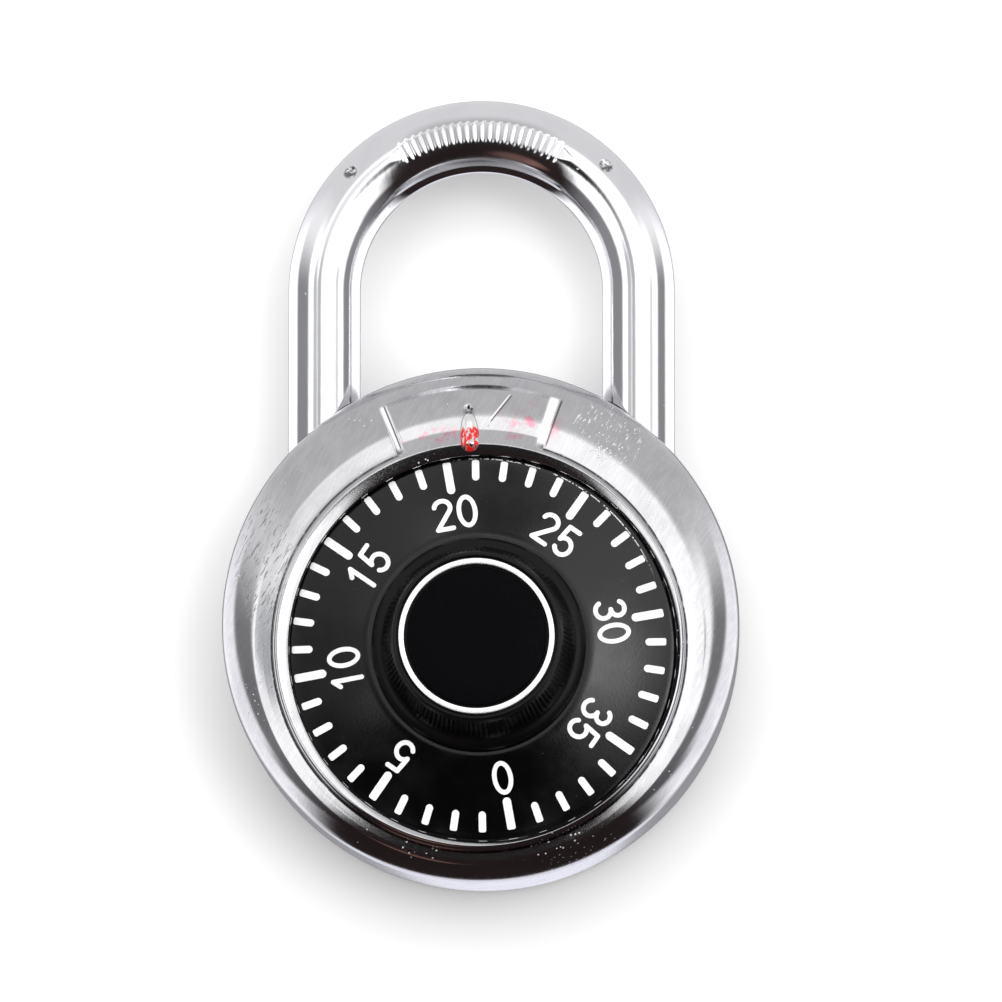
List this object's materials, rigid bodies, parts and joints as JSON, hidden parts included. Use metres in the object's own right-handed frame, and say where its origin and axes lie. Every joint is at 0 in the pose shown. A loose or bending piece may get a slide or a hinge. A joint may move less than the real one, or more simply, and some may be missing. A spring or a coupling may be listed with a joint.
{
  "type": "combination padlock",
  "caption": "Round dial combination padlock with a turning numbered dial and knob, a sliding round-bar shackle, and a disc pack, latch and fence lever inside.",
  "frame": {"origin": "on the dial's axis, in the plane of the back cover's flat rear face", "axes": "+Y out of the back face along the dial's axis, so the dial faces -Y; +Z along the shackle, away from the case; +X to the right of someone who reads the dial"},
  "size_m": [0.05, 0.0265, 0.0766],
  "materials": {
    "case_steel": "satin stainless",
    "back_steel": "satin stainless",
    "shackle_chrome": "bright chrome",
    "dial_black": "satin black",
    "knob_black": "satin black",
    "cap_black": "matt black",
    "ring_bright": "turned bright",
    "plated_steel": "zinc plated",
    "die_cast": "cast zinc alloy",
    "spring_steel": "spring wire",
    "brass": "turned and stamped"
  },
  "bodies": {
    "case": {"front_case": "case_steel", "inner_case": "plated_steel", "back_cover": "back_steel", "frame_plate": "plated_steel", "wheel_post": "brass", "spacer_1": "brass", "spacer_2": "brass", "spring_washer": "spring_steel", "heel_guide": "die_cast", "toe_guide": "die_cast", "latch_guide": "die_cast", "latch_spring": "spring_steel", "lever_pin": "plated_steel", "lever_spring": "spring_steel", "rivet_heel_upper": "plated_steel", "rivet_heel_lower": "plated_steel", "rivet_toe_upper": "plated_steel", "rivet_toe_lower": "plated_steel", "rivet_latch": "plated_steel"},
    "dial": {"dial": "dial_black", "knob": "knob_black", "knob_ring": "ring_bright", "knob_cap": "cap_black", "spindle": "plated_steel", "spindle_clip": "spring_steel", "drive_cam": "die_cast"},
    "front_disc": {"disc_1": "brass"},
    "rear_disc": {"disc_2": "brass"},
    "shackle": {"shackle": "shackle_chrome", "heel_clip": "spring_steel"},
    "latch": {"latch": "plated_steel"},
    "lever": {"fence_lever": "plated_steel"}
  },
  "joints": [
    {"name": "dial_spin", "type": "hinge", "parent": "case", "child": "dial", "pos_m": [0, -0.0174, 0], "axis": [0, 1, 0], "continuous": true},
    {"name": "disc_1_spin", "type": "hinge", "parent": "case", "child": "front_disc", "pos_m": [0, -0.0099, 0], "axis": [0, 1, 0], "continuous": true},
    {"name": "disc_2_spin", "type": "hinge", "parent": "case", "child": "rear_disc", "pos_m": [0, -0.0075, 0], "axis": [0, 1, 0], "continuous": true},
    {"name": "shackle_lift", "type": "slide", "parent": "case", "child": "shackle", "axis": [0, 0, 1], "range_m": [0, 0.015]},
    {"name": "latch_slide", "type": "slide", "parent": "case", "child": "latch", "axis": [1, 0, 0], "range_m": [0, 0.0012]},
    {"name": "lever_swing", "type": "hinge", "parent": "case", "child": "lever", "pos_m": [-0.0066, -0.0058, 0.0186], "axis": [0, 1, 0], "range_deg": [0, 1.5]}
  ],
  "couplings": [
    {"joint": "disc_1_spin", "follows": "dial_spin", "ratio": 1},
    {"joint": "disc_2_spin", "follows": "dial_spin", "ratio": 1}
  ]
}
